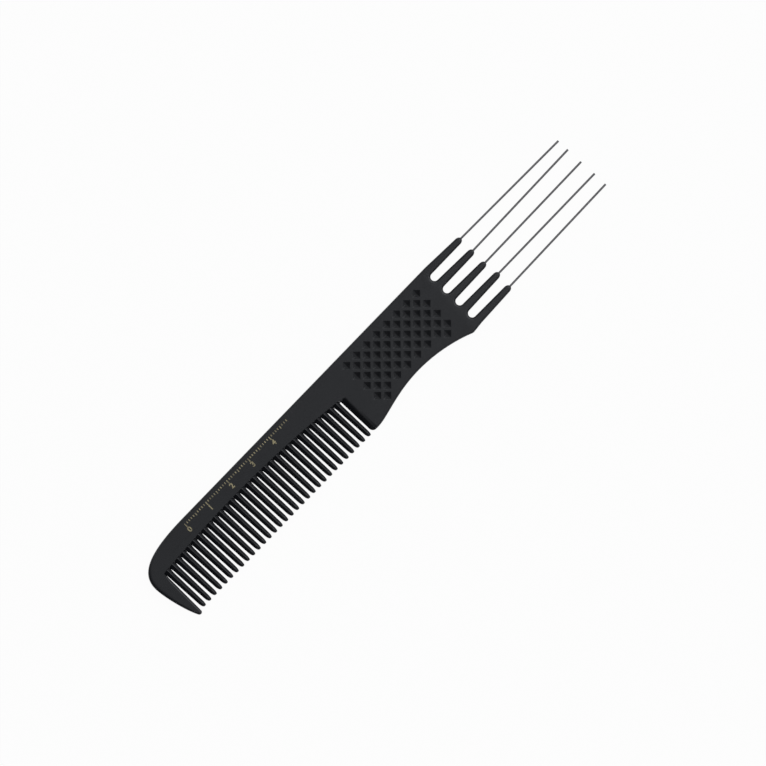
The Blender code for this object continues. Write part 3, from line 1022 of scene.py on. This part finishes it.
# The room's light in each direction, from level on the left (-1) by overhead (0) to the right (1).
room_lights = ((-0.64, 0.02), (-0.37, 0.45), (-0.20, 1.15), (-0.08, 0.75), (0.03, 0.22), (0.15, 0.42))
room_white_height = 0.07
room_fade_height = 0.12
lens = 350
view_width = 0.2534
view_middle = Vector((0.00139, -0.00324, 0))
view_turn = math.radians(-45.89)


def seen_by_eye_or_gloss(tree):
    """One where the camera, a reflection or a clear piece looks at the surface, and else zero."""
    path = tree.nodes.new("ShaderNodeLightPath").outputs
    total = path["Is Camera Ray"]
    for kind in ("Is Glossy Ray", "Is Transmission Ray"):
        total = reckon(tree, "MAXIMUM", total, path[kind])
    return total


def table_material():
    """White where it is looked at, and plain pale for the light that it gives back."""
    material = bpy.data.materials.new("pale_table")
    material.use_nodes = True
    tree = material.node_tree
    tree.nodes.clear()
    plain = add_node(tree, "ShaderNodeBsdfDiffuse", {"Color": table_colour}).outputs[0]
    white = add_node(tree, "ShaderNodeEmission", {"Strength": table_white}).outputs[0]
    shown = add_node(tree, "ShaderNodeMixShader", {0: shadow_share, 1: white, 2: plain}).outputs[0]
    chosen = add_node(tree, "ShaderNodeMixShader", {
        0: seen_by_eye_or_gloss(tree), 1: plain, 2: shown}).outputs[0]
    add_node(tree, "ShaderNodeOutputMaterial", {"Surface": chosen})
    return material


table_bm = bmesh.new()
bmesh.ops.create_grid(table_bm, x_segments=table_cells, y_segments=table_cells, size=table_reach)
bmesh.ops.translate(table_bm, verts=table_bm.verts, vec=(0, 0, body_low.z - cut_overrun))
table_top = new_object("table_top", mesh_of(table_bm, "table_top"))
coat(table_top, table_material())

room = bpy.data.worlds.new("room")
bpy.context.scene.world = room
room.use_nodes = True
room_tree = room.node_tree
room_tree.nodes.clear()
gaze = room_tree.nodes.new("ShaderNodeTexCoord").outputs["Generated"]
gaze_parts = add_node(room_tree, "ShaderNodeSeparateXYZ", {0: gaze}).outputs
gaze_share = pick_range(room_tree, gaze_parts["X"], -1, 1)
room_ramp = add_node(room_tree, "ShaderNodeValToRGB", {0: gaze_share})
ramp_stops = room_ramp.color_ramp.elements
for reach, light in room_lights:
    ramp_stops.new((reach + 1) / 2).color = (light, light, light, 1)
ramp_stops.remove(ramp_stops[0])
ramp_stops.remove(ramp_stops[-1])
near_horizon = add_node(room_tree, "ShaderNodeMapRange", {
    "Value": gaze_parts["Z"], "From Min": room_white_height, "From Max": room_fade_height,
    "To Min": 1, "To Max": 0}).outputs[0]
white_share = multiply(room_tree, near_horizon, seen_by_eye_or_gloss(room_tree))
room_strength = spread(room_tree, white_share, room_ramp.outputs[0], 1)
room_glow = add_node(room_tree, "ShaderNodeBackground", {"Strength": room_strength}).outputs[0]
add_node(room_tree, "ShaderNodeOutputWorld", {"Surface": room_glow})

key_light = bpy.data.lights.new("key_lamp", "AREA")
key_light.size = key_size
key_light.energy = key_power
key_lamp = new_object("key_lamp", key_light)
key_way = Vector((math.cos(key_azimuth) * math.cos(key_elevation),
                  math.sin(key_azimuth) * math.cos(key_elevation),
                  math.sin(key_elevation)))
key_lamp.location = key_way * key_distance
key_lamp.rotation_euler = key_way.to_track_quat("Z", "Y").to_euler()

camera_data = bpy.data.cameras.new("camera")
camera_data.lens = lens
camera = new_object("camera", camera_data)
camera_height = view_width * lens / camera_data.sensor_width
camera.location = view_middle + Vector((0, 0, body_high.z + camera_height))
camera.rotation_euler = (0, 0, view_turn)
bpy.context.scene.camera = camera
bpy.context.scene.view_settings.view_transform = "Standard"
